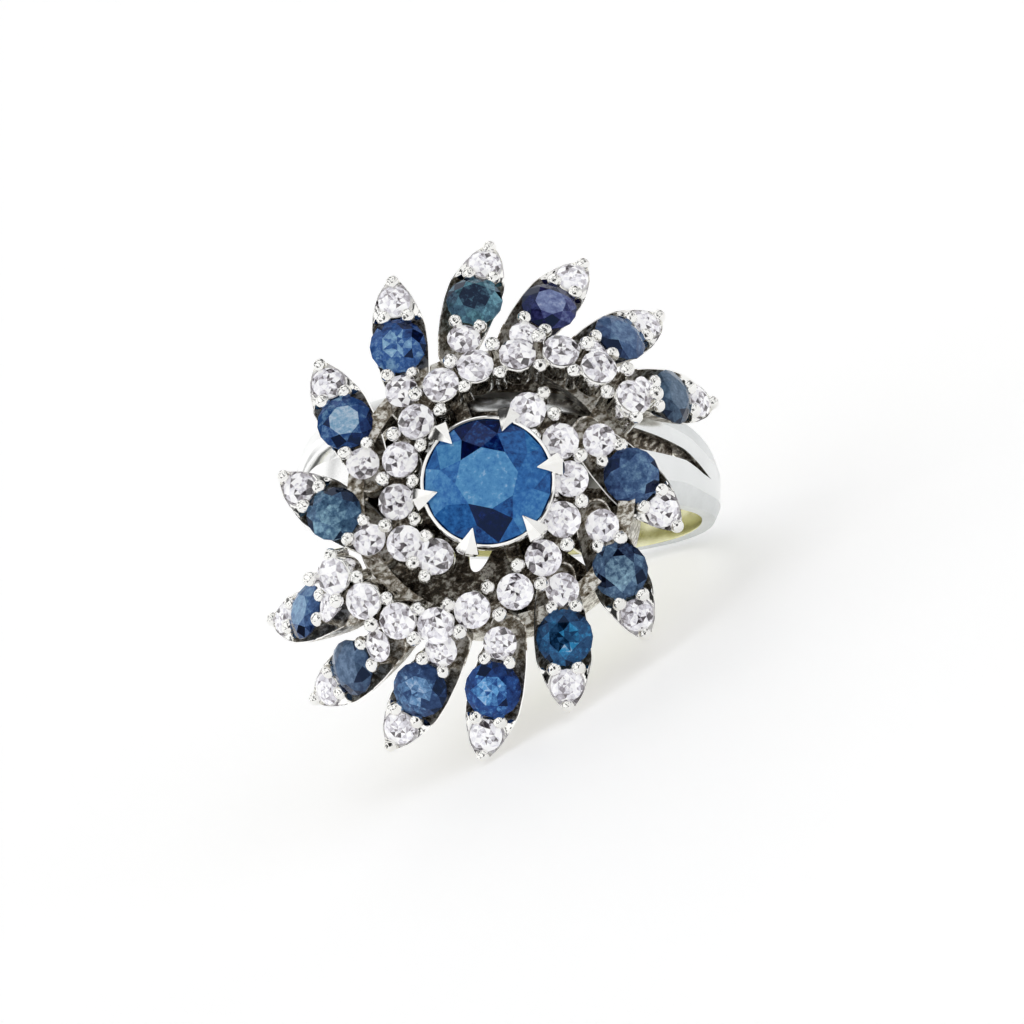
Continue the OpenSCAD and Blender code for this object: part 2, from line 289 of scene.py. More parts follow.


# %% [markdown]
# ## One mesh for each piece
# The arrays go straight into the mesh, already laid down and in metres. The piece rides on the
# ring's one body and hides the solid that it stands for.

# %% Pieces
def piece(name, shape, materials, slot, nodes=("mount",), to_row=from_head, smooth=32,
          tones=None):
    """One mesh in place of CAD nodes, with sharp edges where its faces turn by more than the
    angle smooth, or all flat where that is 0. Each face carries a tone: the one given, or how
    far it looks down at the finger."""
    mesh = bpy.data.meshes.new(name)
    sets = [f for _, f in shape.faces]
    corners = np.concatenate([f.ravel() for f in sets]).astype(np.int32)
    sizes = np.concatenate([np.full(len(f), f.shape[1]) for f in sets]).astype(np.int32)
    mesh.vertices.add(len(shape.points))
    mesh.vertices.foreach_set("co", to_row(shape.points).astype(np.float32).ravel())
    mesh.loops.add(len(corners))
    mesh.loops.foreach_set("vertex_index", corners)
    mesh.polygons.add(len(sizes))
    mesh.polygons.foreach_set("loop_start", (np.cumsum(sizes) - sizes).astype(np.int32))
    mesh.update(calc_edges=True)
    for m in materials:
        mesh.materials.append(m)
    finish = np.concatenate([np.full(len(f), m) for m, f in shape.faces])
    mesh.polygons.foreach_set("material_index", finish.astype(np.int32))
    if tones is None:
        normals = np.empty(3 * len(sizes), np.float32)
        mesh.polygons.foreach_get("normal", normals)
        tones = np.clip(-(normals.reshape(-1, 3) @ LAID)[:, 2], 0, 1)
    tone = mesh.attributes.new("tone", "FLOAT", "FACE")
    tone.data.foreach_set("value", tones.astype(np.float32))
    mesh.polygons.foreach_set("use_smooth", np.full(len(sizes), smooth > 0))
    if smooth:
        mesh.set_sharp_from_angle(angle=np.radians(smooth))
    thing = bpy.data.objects.new(name, mesh)
    bpy.context.scene.collection.objects.link(thing)
    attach(thing, "root")
    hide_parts(*nodes)
    print(f"{name}: {len(shape.points)} points, {len(sizes)} faces")


# %% [markdown]
# ## Finishes
# Each finish is a graph of shader nodes, which is hard to follow when it is written link by
# link. Here a small class writes the sums as plain expressions, and one method adds any other
# node.

# %% Node helpers
def fill(tree, end, value):
    """Links a wire to a socket, or sets a plain value on it."""
    if isinstance(value, Wire):
        tree.links.new(value.socket, end)
    else:
        end.default_value = value


class Wire:
    """A shader socket with arithmetic: each operator adds the Math node that it stands for."""

    def __init__(self, tree, socket):
        self.tree, self.socket = tree, socket

    def math(self, operation, a, b):
        node = self.tree.nodes.new("ShaderNodeMath")
        node.operation = operation
        for end, value in zip(node.inputs, (a, b)):
            fill(self.tree, end, value)
        return Wire(self.tree, node.outputs[0])

    def __add__(self, other):
        return self.math("ADD", self, other)

    def __sub__(self, other):
        return self.math("SUBTRACT", self, other)

    def __rsub__(self, other):
        return self.math("SUBTRACT", other, self)

    def __mul__(self, other):
        return self.math("MULTIPLY", self, other)

    def __pow__(self, other):
        return self.math("POWER", self, other)

    __radd__, __rmul__ = __add__, __mul__


class Graph:
    """A tree of nodes, of a material or of the world."""

    def __init__(self, tree):
        self.tree = tree

    def give(self, node, **named):
        """Values or links for the sockets of a node, by their names."""
        for key, value in named.items():
            fill(self.tree, node.inputs[key.replace("_", " ")], value)

    def add(self, kind, settings=None, stops=(), output=0, ordered=(), **named):
        """Any node: its type, settings and ramp stops, then values or links by the order or the
        names of its sockets."""
        node = self.tree.nodes.new(kind)
        for key, value in (settings or {}).items():
            setattr(node, key, value)
        for k, (at, colour) in enumerate(stops):
            ends = node.color_ramp.elements
            stop = ends[k] if k < len(ends) else ends.new(at)
            stop.position, stop.color = at, (*colour, 1)
        for end, value in zip(node.inputs, ordered):
            fill(self.tree, end, value)
        self.give(node, **named)
        return Wire(self.tree, node.outputs[output])


class Finish(Graph):
    """A material with one Principled shader."""

    def __init__(self, name):
        self.material = bpy.data.materials.new(name)
        self.material.use_nodes = True
        super().__init__(self.material.node_tree)

    def feed(self, **named):
        """Gives values and wires to the shader, and returns the material."""
        self.give(self.tree.nodes["Principled BSDF"], **named)
        return self.material


# %% [markdown]
# ## White gold
# Polished white gold is close to a mirror, a little warm, with faint polishing marks. Recesses
# and the parts under the cluster are painted a rough dark brown as shade, broken by pale
# patches, and the band's sides a darker grey, also painted shade. The inside of the hoop is worn
# to the yellower metal below the plating. The beads are pushed over by hand, so each has its own
# small dents. These finishes differ only in degree, so one function makes them all.

# %% Metal finishes
def white_gold(name, stops, rough, swing, size, bump, relief=0.00003, metallic=1.0, draw=(1, 1, 1),
               rub_and_highlight=(0.0, 0.5)):
    """Metal whose colour and roughness follow cloudy noise, with a finer noise as its relief.

    The roughness is rough plus swing times the noise, whose cells are about 1 / size metres wide.
    The relief is relief times bump metres deep. Then come the Metallic value and a stretch of
    the noise. The last, a share and a place on the ramp, evens the colours out towards that
    place where a face's tone is high: worn where it looks at the finger, which rubs it, and a
    painted highlight on the shank's left shoulder."""
    f = Finish(name)
    where = f.add("ShaderNodeMapping", Vector=f.add("ShaderNodeTexCoord", output=3), Scale=draw)
    cloudy = f.add("ShaderNodeTexNoise", Vector=where, Scale=size, Detail=6.0, Roughness=0.72)
    fine = f.add("ShaderNodeTexNoise", Vector=where, Scale=size * 5, Detail=2.0)
    tone = f.add("ShaderNodeAttribute", {"attribute_name": "tone"}, output=2)
    share, place = rub_and_highlight
    # Where the tone is high the colour goes towards place: worn where a face looks at the finger,
    # a painted highlight on the shank's left shoulder
    evened = cloudy + (share * tone) * (place - cloudy)
    return f.feed(
        Metallic=metallic, Base_Color=f.add("ShaderNodeValToRGB", stops=stops, Fac=evened),
        Roughness=rough + swing * cloudy,
        Normal=f.add("ShaderNodeBump", Strength=bump, Distance=relief, Height=fine))


MIRROR = [(0.3, (0.84, 0.83, 0.80)), (0.7, (0.96, 0.96, 0.94))]
SMOOTH = [(0.3, (0.76, 0.775, 0.775)), (0.7, (0.85, 0.865, 0.865)), (1.0, (0.97, 0.97, 0.96))]
# Darker grey for painted shade on the band's sides, then two dark browns for painted shade in
# recesses and under the cluster
SIDE_SHADE_RAMP = [(0.3, (0.66, 0.68, 0.68)), (0.7, (0.80, 0.82, 0.82)), (1.0, (0.95, 0.95, 0.94))]
RECESS_SHADE_RAMP = [(0.42, (0.035, 0.026, 0.016)), (0.52, (0.15, 0.12, 0.085)), (0.61, (0.85, 0.82, 0.74))]
HALF_SHADE_RAMP = [(0.375, (0.075, 0.058, 0.036)), (0.475, (0.27, 0.23, 0.17)), (0.57, (0.92, 0.90, 0.84))]
YELLOW = [(0.3, (0.50, 0.48, 0.22)), (0.7, (0.83, 0.82, 0.60))]
STREAKS = (1, 0.4, 1.5)

# The four numbers are rough, swing, size and bump
BRIGHT = white_gold("white_gold_polished", MIRROR, 0.01, 0.10, 800.0, 0.07)
BEAD = white_gold("white_gold_beads", MIRROR, 0.01, 0.10, 300.0, 1.0, relief=0.0002)
# On the shank the next two turn white towards the left shoulder, a painted highlight
HOOP = white_gold("white_gold_hoop", SMOOTH, 0.14, 0.16, 300.0, 0.03, rub_and_highlight=(0.9, 1.0))
# The band's sides are rougher, and their darker grey is painted shade
SIDE = white_gold("white_gold_side_shade", SIDE_SHADE_RAMP, 0.26, 0.20, 500.0, 0.08, rub_and_highlight=(0.9, 1.0))
# The next two are dark brown painted shade, broken by pale patches: the first in deep recesses,
# the second, lighter, in shallow ones and under the cluster
RECESS_SHADE = white_gold("white_gold_recess_shade", RECESS_SHADE_RAMP, 0.10, 0.40, 2600.0, 1.0, metallic=0.6, draw=STREAKS)
HALF_SHADE = white_gold("white_gold_half_shade", HALF_SHADE_RAMP, 0.12, 0.40, 2600.0, 0.8, metallic=0.6, draw=STREAKS,
                   rub_and_highlight=(0.8, 0.56))
WORN = white_gold("white_gold_worn", YELLOW, 0.12, 0.16, 260.0, 0.05)
METALS = [BRIGHT, HOOP, SIDE, RECESS_SHADE, HALF_SHADE, WORN, BEAD]
M_BRIGHT, M_HOOP, M_SIDE, M_RECESS_SHADE, M_HALF_SHADE, M_WORN, M_BEAD = range(7)
print("metal finishes:", [m.name for m in METALS])


def metal(name, shape, **how):
    """A piece of the mount, whose faces are numbered by METALS."""
    piece(name, shape, METALS, "white_gold", **how)


# %% [markdown]
# ## Stones
# A cut stone shows its facets as patches of different tone. Glass alone would turn pale in a
# white tent, and a plain colour would look like enamel. So glass bends the light through the
# true facets, and a tone kept on each facet, painted reflection and shade, parts it from its
# neighbours, with a faint painted glow for the light that the cut sends back. Silk inside the
# sapphires scatters part of the light.

# %% Stone finishes
def gem(name, stops, ior, clear, glow, silk_and_sparkle, sparks, silk_and_sparkle_size=3000.0, spark_size=5200.0, rare=1,
        glint=(1, 1, 1)):
    """A stone whose tone, one value for each facet, picks a colour from the stops: painted
    reflection and shade. The two numbers after glow add fine noise to the tone, silk in a
    sapphire and painted sparkle in a diamond, and small even cells, painted images of other
    facets, of which a high power, rare, leaves few bright. clear is the share of light that
    goes through, and glow a painted glow: emitted light that stands for the light that the cut
    sends back."""
    f = Finish(name)
    tone = f.add("ShaderNodeAttribute", {"attribute_name": "tone"}, output=2)
    where = f.add("ShaderNodeTexCoord", output=3)
    noise = f.add("ShaderNodeTexNoise", Vector=where, Scale=silk_and_sparkle_size, Detail=8.0, Roughness=0.75)
    cells = f.add("ShaderNodeTexVoronoi", Vector=where, Scale=spark_size, output=1)
    tone = tone + silk_and_sparkle * (noise - 0.5) + sparks * (cells ** rare - 0.5 ** rare)
    colour = f.add("ShaderNodeValToRGB", stops=stops, Fac=tone)
    return f.feed(Base_Color=colour, Emission_Color=colour, Emission_Strength=glow, IOR=ior,
                  Transmission_Weight=clear, Roughness=0.01, Specular_IOR_Level=0.25,
                  Specular_Tint=(*glint, 1))


ICE = [(0.0, (0.03, 0.025, 0.03)), (0.18, (0.17, 0.15, 0.16)), (0.36, (0.44, 0.42, 0.46)),
       (0.56, (0.76, 0.75, 0.81)), (0.8, (1.0, 1.0, 1.0))]
DIAMOND = gem("diamond", ICE, ior=2.2, clear=0.25, glow=0.2, silk_and_sparkle=0.8, sparks=0.7,
              silk_and_sparkle_size=4500.0)


def sapphire(name, dark, body, pale, silk_and_sparkle=1.1, flecks=0.15):
    """A sapphire between three blues: its dark facets, its body and its pale facets. Below and
    above them the ramp goes on to a fifth of the dark blue, and 0.4 of the way to white."""
    stops = [(0.0, tuple(0.2 * c for c in dark)), (0.2, dark), (0.5, body), (0.8, pale),
             (1.0, tuple(0.4 + 0.6 * c for c in pale))]
    return gem(name, stops, ior=1.77, clear=0.2, glow=0.15, silk_and_sparkle=silk_and_sparkle, sparks=flecks,
               spark_size=7500.0, rare=4, glint=(0.25, 0.4, 0.8))


# %% [markdown]
# ## Round cut stones
# A round brilliant has an eight-sided table, eight stars, eight kites and sixteen upper girdle
# facets above a thin girdle, and long pavilion facets that meet in a point below. A cone could
# be sliced plane by plane, as a cutter does, but with rings of corners one list of faces serves
# all sixty-five stones.

# %% Brilliant cut
def brilliant(d, table=0.56, crown=0.15, girdle=0.015, pavilion=0.42, star=True):
    """A round brilliant of diameter d, its girdle's middle at the origin.

    Table corners lie at the share table of the radius, those between stars and kites in the
    kites' planes, and those near the point below in the planes of the main facets. With star the
    table is parted flat into the star that the facets below show through it, whose tones paint
    that reflection."""
    r, g, top, low = d / 2, girdle * d, crown * d, -pavilion * d
    every = np.radians(np.arange(16) * 22.5)
    on, off, c = every[::2], every[1::2], np.cos(np.radians(22.5))
    rt, rm, rl = table * r, (table + 0.5 * (1 - table)) * r, 0.22 * r
    points = np.vstack([
        polar(rt, on, top), polar(rm, off, g + (top - g) * (r - rm * c) / (r - rt)),
        polar(r, every, g), polar(r, every, -g), polar(rl, off, low + (-g - low) * rl * c / r),
        [[0, 0, low]], polar(0.45 * rt, off, top), [[0, 0, top]]])
    # First corners of the table, the stars, the girdle above and below, the pavilion, its
    # point, the flat star and its middle
    T, M, G, H, L, C, S, O = 0, 8, 16, 32, 48, 56, 57, 65
    k, j = np.arange(8), np.arange(16)
    n, b, j2 = (k + 1) % 8, (k - 1) % 8, (j + 1) % 16
    e, e1, e2 = 2 * k, 2 * k + 1, (2 * k + 2) % 16

    def facets(*corners):
        return np.vstack([np.stack(c, 1) for c in corners])

    three = facets((T + k, M + k, T + n), (M + k, G + e, G + e1), (M + k, G + e1, G + e2),
                   (L + k, H + e1, H + e), (L + k, H + e2, H + e1))
    four = facets((T + k, M + b, G + e, M + k), (G + j, H + j, H + j2, G + j2),
                  (np.full(8, C), L + k, H + e, L + b))
    flat = facets((T + k, T + n, S + k), (S + k, T + n, S + n), (S + k, S + n, np.full(8, O)))
    return Shape(points, [(0, flat if star else (T + k)[None]), (0, three), (0, four)]).outward()


def facet_tones(shape, count, seed, low, high, dark, table=None):
    """One tone for each facet of count stones, in the order of their faces, as painted reflection
    and shade: even chances between low and high, a share of them dark, and between the table's
    own two limits."""
    chance = np.random.default_rng(seed)
    out = []
    for _, faces in shape.faces:
        t = chance.uniform(low, high, (count, len(faces)))
        t[chance.random(t.shape) < dark] = 0.0
        out.append(t)
    if table is not None:
        out[0] = chance.uniform(*table, out[0].shape)
    return np.concatenate([t.ravel() for t in out])


def side_lit(values, stone, middle, radius, seed, heading, amount, edge):
    """Tones of one stone with painted light and shade: paler towards the heading in the cluster's
    plane by up to amount. Half of the facets far across are painted almost black, and those near
    the girdle darker by up to edge, as painted shade."""
    middles = np.concatenate([stone.points[f].mean(1) for _, f in stone.faces]) - middle
    share = (middles @ polar(1, np.radians(heading), 0)) / radius
    black = (share < -0.5) & (np.random.default_rng(seed).random(len(share)) < 0.5)
    near = np.clip(np.linalg.norm(middles, axis=1) / radius / 0.3 - 2, 0, 1)
    return np.where(black, 0.04, values + amount * share - edge * near)


def set_stones(name, cut, where, material, slot, nodes, seed, tones, spin=None, side_light=None):
    """Cut stones at every place, each turned about its own axis by chance, or by spin. tones are
    all the tones, or the last arguments of facet_tones. The last argument, for a single stone,
    holds the last arguments of the function above that paints light and shade on its facets."""
    at, axes = where
    angle = np.random.default_rng(seed).uniform(0, 45, len(at)) if spin is None else spin
    values = tones if isinstance(tones, np.ndarray) else facet_tones(cut, len(at), seed, *tones)
    stones = cut.placed((at, axes @ turn(2, angle)))
    if side_light:
        values = side_lit(values, stones, at[0], np.abs(cut.points[:, 0]).max(), seed, *side_light)
    piece(name, stones, [material], slot, nodes, smooth=0, tones=values)


# %% [markdown]
# Fifty diamonds share one finish. Chance turns each of them and tones its facets, because real
# ones never sparkle alike.

# %% The diamonds
SPARKLE, SHADED_TONES = (0.3, 1.0, 0.08), (0.27, 0.98, 0.1)  # lowest and highest tone, dark share; the second, a little darker, is painted shade on arm a
for k, letter, tones in ((0, "a", SHADED_TONES), (1, "b", SPARKLE)):
    set_stones(f"arm_{letter}_stones", brilliant(ARM_D), ARMS[k], DIAMOND, "diamond",
               [f"arm_{letter}_diamonds"], seed=5 + k, tones=tones)
set_stones("inner_stones", brilliant(INNER_D), along(RAY, INNER_X), DIAMOND, "diamond",
           ["inner_diamonds"], seed=7, tones=SPARKLE)
set_stones("tip_stones", brilliant(TIP_D), along(RAY, TIP_X), DIAMOND, "diamond",
           [f"tip_diamond_{i}" for i in range(1, 15)], seed=8, tones=SPARKLE)

# %% [markdown]
# Natural sapphires never match in full. Each has its own blue, from ink to steel, and a paler
# side that is painted light. Its table is plain and silky, or shows the star of the facets
# below as a painted reflection.

# %% The sapphires of the rays, clockwise from the top
BLUES = [  # dark facets, body, pale facets
    [(0.002, 0.006, 0.013), (0.069, 0.153, 0.203), (0.186, 0.430, 0.515)],
    [(0.005, 0.003, 0.036), (0.044, 0.046, 0.162), (0.217, 0.270, 0.462)],
    [(0.011, 0.019, 0.061), (0.068, 0.122, 0.237), (0.233, 0.370, 0.524)],
    [(0.011, 0.017, 0.027), (0.061, 0.103, 0.151), (0.167, 0.241, 0.328)],
    [(0.001, 0.003, 0.038), (0.057, 0.112, 0.234), (0.241, 0.405, 0.537)],
    [(0.004, 0.007, 0.027), (0.068, 0.124, 0.213), (0.323, 0.518, 0.647)],
    [(0.002, 0.015, 0.045), (0.023, 0.080, 0.184), (0.035, 0.264, 0.527)],
    [(0.002, 0.007, 0.059), (0.018, 0.072, 0.269), (0.136, 0.394, 0.729)],
    [(0.005, 0.012, 0.042), (0.031, 0.064, 0.161), (0.147, 0.309, 0.535)],
    [(0.010, 0.018, 0.053), (0.074, 0.125, 0.204), (0.229, 0.332, 0.475)],
    [(0.006, 0.015, 0.061), (0.063, 0.131, 0.291), (0.248, 0.430, 0.604)],
    [(0.004, 0.015, 0.044), (0.067, 0.140, 0.233), (0.314, 0.522, 0.634)],
    [(0.004, 0.014, 0.082), (0.020, 0.064, 0.200), (0.200, 0.375, 0.544)],
    [(0.004, 0.011, 0.067), (0.037, 0.107, 0.309), (0.270, 0.466, 0.632)]]
FACETS = [  # crown tones, table tones, flecks, dark share, bright side and by how much, all painted light and shade on the facets
    [0.4, 0.68, 0.02, 0.3, 0.25, 0.08, -60, 0.12], [0.2, 0.5, 0.72, 0.72, 0.1, 0.1, -20, 0.2],
    [0.42, 0.56, 0.52, 0.52, 0.1, 0.05, 45, 0.12], [0.46, 0.6, 0.57, 0.57, 0.1, 0.04, 90, 0.12],
    [0.42, 0.56, 0.5, 0.5, 0.1, 0.2, 0, 0.12], [0.34, 0.62, 0.46, 0.62, 0.15, 0.12, -100, 0.14],
    [0.42, 0.6, 0.05, 0.85, 0.25, 0.12, -90, 0.05], [0.38, 0.54, 0.4, 0.85, 0.3, 0.08, -135, 0.12],
    [0.42, 0.56, 0.4, 0.85, 0.3, 0.08, 180, 0.12], [0.44, 0.6, 0.54, 0.54, 0.1, 0.08, 110, 0.12],
    [0.42, 0.6, 0.65, 0.65, 0.1, 0.06, 120, 0.18], [0.42, 0.58, 0.4, 0.58, 0.2, 0.14, -135, 0.14],
    [0.34, 0.64, 0.87, 0.87, 0.15, 0.12, 150, 0.18],
    [0.4, 0.58, 0.42, 0.75, 0.25, 0.1, -110, 0.12]]
RAY_EDGE = 0.12  # how much darker the facets near the girdle are, as painted shade
STARRED = 0.1  # with a wider range than this the table shows the star of the facets below, painted as a reflection
for i, (blues, (low, high, flat_low, flat_high, flecks, dark, side, paler)) in enumerate(
        zip(BLUES, FACETS)):
    set_stones(f"ray_stone_{i + 1}", brilliant(SAPPHIRE_D, star=flat_high > flat_low + STARRED),
               (RAY[0][i:i + 1], RAY[1][i:i + 1]),
               sapphire(f"sapphire_{i + 1}", *blues, flecks=flecks), "sapphire_ray",
               [f"ray_sapphire_{i + 1}"], seed=20 + i,
               tones=(low, high, dark, (flat_low, flat_high)), side_light=(side, paler, RAY_EDGE))

# %% [markdown]
# The central sapphire has a wide table full of pale silk, two almost black facets below and
# above it, and a royal blue edge. Its facets are toned one by one, as painted reflection and
# shade.

# %% The central sapphire
centre_cut = brilliant(CENTRE_D, table=0.5, star=False)
STARS = [0.38, 0.2, 0.05, 0.5, 0.56, 0.05, 0.35, 0.5]  # from the right, against the clock
KITES = [0.5, 0.42, 0.2, 0.68, 0.6, 0.44, 0.0, 0.56]
EDGE = [0.42, 0.28, 0.1, 0.45, 0.66, 0.36, 0.45, 0.6, 0.55, 0.08, 0.5, 0.72, 0.46, 0.32, 0.6, 0.38]
TABLE, UNDER = 0.72, 0.3  # UNDER: the pavilion and the girdle
centre_tones = np.array([TABLE] + STARS + EDGE + [UNDER] * 16 + KITES + [UNDER] * 24)
centre_blue = sapphire("sapphire_centre", (0.001, 0.006, 0.07), (0.024, 0.13, 0.38),
                       (0.10, 0.31, 0.55), silk_and_sparkle=1.0)
set_stones("centre_stone", centre_cut, (np.zeros((1, 3)), np.eye(3)[None]), centre_blue,
           "sapphire_centre", ["centre_sapphire"], seed=3, tones=centre_tones,
           spin=np.array([10.0]))


# %% [markdown]
# ## Shank
# The hoop is one band that widens from the palm and splits into two bars under the cluster. A
# slot cut by a Boolean would be ragged where the split begins. So half a section is carried
# round the finger for each bar: a rounded rectangle whose inner edge stays on the middle plane
# until the split opens. The left shoulder gets a painted highlight: its colour is lightened
# towards white, so that it melts into the white ground.

# %% Shank
# Heights above the finger's centre, and how far the edges of the split and of the band are
# from the middle plane there, above (1) and below it (-1) in the photograph
SPLIT_Z, BAND_Z = [2.6, 3.4, 5.0, 9.5], [-9.5, 0, 5, 9.5]
SPLIT_Y = {1: [0, 0.25, 0.8, 1.6], -1: [0, -0.03, -0.35, -0.35]}
BAND_Y = {1: [1.1, 1.35, 2.3, 3.0], -1: [1.1, 1.35, 1.8, 2.6]}
SPLIT_ROUND = 0.2  # the rounding of the bars towards the split
SIDE_FALL = (0.18, 0.26, 0.42)  # and towards the band's edge, at three points
WEB_TOP, WEB_LOW = 9.4, 9.2


def shank():
    """Half sections carried round the finger, one for each side of the split. At height z each
    runs from the split's edge to the band's, with a crease where its face begins to fall, and
    back along the inside."""
    theta = np.radians(np.arange(0, 360, 2))[:, None]
    z = -HOOP_R * np.cos(theta)
    points, quads, finish, n = [], [], [], len(theta)
    for side in (1, -1):
        split, width = np.interp(z, SPLIT_Z, SPLIT_Y[side]), np.interp(z, BAND_Z, BAND_Y[side])
        a = SPLIT_ROUND * np.clip(split / 0.3, 0, 1)
        crease = split + 0.5 * (width - split)
        y = np.hstack([split, split + 0.3 * a, split + a, crease, width - 0.2, width - 0.05, width,
                       width, width - 0.03, width - 0.1, split + a / 2, split + a / 6, split])
        fall = np.hstack([a, 0.3 * a, 0 * a, 0 * a, *(0 * a + f for f in SIDE_FALL)])
        rise = np.hstack([0 * a + 0.1, 0 * a + 0.03, 0 * a, 0 * a, a / 6, a / 2])
        r = np.hstack([HOOP_R - fall, FINGER_R + rise])
        half = np.stack([r * np.sin(theta), side * y, -r * np.cos(theta)], -1).reshape(-1, 3)
        faces = grid(n, 13, True, True)
        keep = np.abs(half[faces][:, :, 1]).max(1) > 1e-6
        faces = faces[keep] if side > 0 else faces[keep][:, ::-1]
        quads.append(faces + len(points) * len(half))
        # Past the crease the band is darker, painted shade; the split's wall is dark brown painted
        # shade, but on the left half it is as light as the hoop
        kinds = np.tile([M_HOOP] * 3 + [M_SIDE] * 5 + [M_WORN] * 4 + [M_RECESS_SHADE], (n, 1))
        kinds[theta[:, 0] > np.pi, 12] = M_HOOP
        finish.append(kinds.ravel()[keep])
        points.append(half)
    return welded(np.vstack(points), np.vstack(quads), np.concatenate(finish)).outward()


def web(side, finish):
    """A thin floor low in the split, a piece of a cylinder on one side of the finger."""
    y, t = np.meshgrid(np.linspace(-0.6, 1.8, 5), np.radians(np.linspace(122, 160, 12)),
                       indexing="ij")
    top, low = (np.stack([side * r * np.sin(t), y, -r * np.cos(t)], -1)
                for r in (WEB_TOP, WEB_LOW))
    return walled(top, low, grid(5, 12), (finish, M_WORN, finish))


# The right web is dark brown painted shade, the left one as light as the hoop
hoop = shank() + web(1, M_RECESS_SHADE) + web(-1, M_HOOP)
# The tone rises towards the left shoulder, where the hoop's colour turns white: a painted
# highlight
highlight_leftward = -np.concatenate([hoop.points[f, 0].mean(1) for _, f in hoop.faces])
metal("shank", hoop, to_row=from_ring, tones=np.clip(highlight_leftward / 6, 0, 1))

# %% [markdown]
# ## Gallery
# Under the cluster stands a round wall, pierced with three openings on each side where it is
# tall. Booleans could drill it, but they leave long thin faces that shade badly. So it is drawn
# flat, with rings of points from each opening to the edge of its cell, and then bent round
# twice, once for each face of the wall.

# %% Gallery wall
GALLERY_R, GALLERY_IN, GALLERY_TOP = 6.6, 5.85, -2.0
GALLERY_FOOT = 9.3  # its radius round the finger
OPENINGS, CELL = (-26, 0, 26, 154, 180, 206), 13  # degrees: their middles, and half a cell
OPENING_R, OPENING_ANGLE, OPENING_Z = 1.05, 9.3, -3.7  # half its height, half its width as angle
BETWEEN, BETWEEN_LONG = (39, 219), 102  # degrees: where the plain stretches start, and how long


def over_finger(x, r):
    """Height, from the cluster's centre, of the cylinder of radius r round the finger."""
    return np.sqrt(r * r - x * x) - HEAD[2]


def gallery():
    """Cells of the wall by angle and share of its height, patched round the openings."""
    rise = np.tan(np.radians(np.linspace(-45, 45, 9)))  # the steps up the side of a cell
    a = np.radians(np.arange(32) * 11.25)
    square = np.stack([np.cos(a), np.sin(a)], 1) / np.abs([np.cos(a), np.sin(a)]).max(0)[:, None]
    flat, quads, n = [], [], 0

    def cell(phi, share):
        """Points of the flat wall at these angles and shares, from -1 at its foot to 1."""
        low = over_finger(GALLERY_R * np.cos(np.radians(phi)), GALLERY_FOOT)
        return np.stack([phi, low + (GALLERY_TOP - low) * (share + 1) / 2], 1)

    for middle in OPENINGS:
        edge = cell(middle + CELL * square[:, 0], square[:, 1])
        hole = np.stack([middle + OPENING_ANGLE * np.cos(a), OPENING_Z + OPENING_R * np.sin(a)], 1)
        t = np.linspace(0, 1, 4)[:, None, None]
        flat.append((hole + (edge - hole) * t).reshape(-1, 2))
        quads.append(grid(4, 32, close_cols=True) + n)
        n += 4 * 32
    for start in BETWEEN:
        phi = np.linspace(start, start + BETWEEN_LONG, 35)
        flat.append(cell(np.repeat(phi, 9), np.tile(rise, 35)))
        quads.append(grid(35, 9) + n)
        n += 35 * 9
    phi, z = np.radians(np.vstack(flat)[:, 0]), np.vstack(flat)[:, 1]
    low, low_in = (over_finger(r * np.cos(phi), GALLERY_FOOT) for r in (GALLERY_R, GALLERY_IN))
    z_in = z + (low_in - low) * (GALLERY_TOP - z) / (GALLERY_TOP - low)
    outer, inner = polar(GALLERY_R, phi, z), polar(GALLERY_IN, phi, z_in)
    first, group = merged(outer, 1e3)
    # Outside and edges in the lighter painted shade, the inside in the dark one
    return walled(outer[first], inner[first], group[np.vstack(quads)], (M_HALF_SHADE, M_RECESS_SHADE, M_HALF_SHADE))


# %% [markdown]
# A curved plate closes the drum above the finger. Light comes in through its opening, and the
# floor and the worn inside of the hoop show between the arms.

# %% Base plate
PLATE_HOLE, PLATE_RIM = 1.6, 6.3
PLATE_TOP, PLATE_LOW = 9.85, 9.25  # radii round the finger
NOTCH, SLOT = (1.95, 256, 14), (3.8, 326, 3.4)  # depth, and in degrees their middle and half width


def base_plate():
    """A ring of the finger's cylinder, from a round opening with a wide notch and a deep, narrow
    slot to the gallery. Both are bell curves of the angle, the slot's with a flat top."""
    phi, t = np.meshgrid(np.arange(0, 360, 1.5), np.linspace(0, 1, 8), indexing="ij")
    notch, slot = (depth * np.exp(-((phi - middle) / half) ** power)
                   for (depth, middle, half), power in ((NOTCH, 2), (SLOT, 6)))
    hole = PLATE_HOLE + notch + slot
    phi, rho = np.radians(phi), hole + (PLATE_RIM - hole) * t
    top, low = (polar(rho, phi, over_finger(rho * np.cos(phi), r))
                for r in (PLATE_TOP, PLATE_LOW))
    # Its top, inside the cluster, is dark brown painted shade
    return walled(top, low, grid(240, 8, close_rows=True), (M_RECESS_SHADE, M_WORN, M_WORN))


metal("gallery", gallery() + base_plate())

# %% [markdown]
# ## Central setting
# A cup with a thin bright rim holds the central sapphire on four spokes. Six claws like arrow
# heads lie on its crown, each a ridge that runs out into a point. A curve with a bevel would be
# round, so each is a loft of sections with five corners.

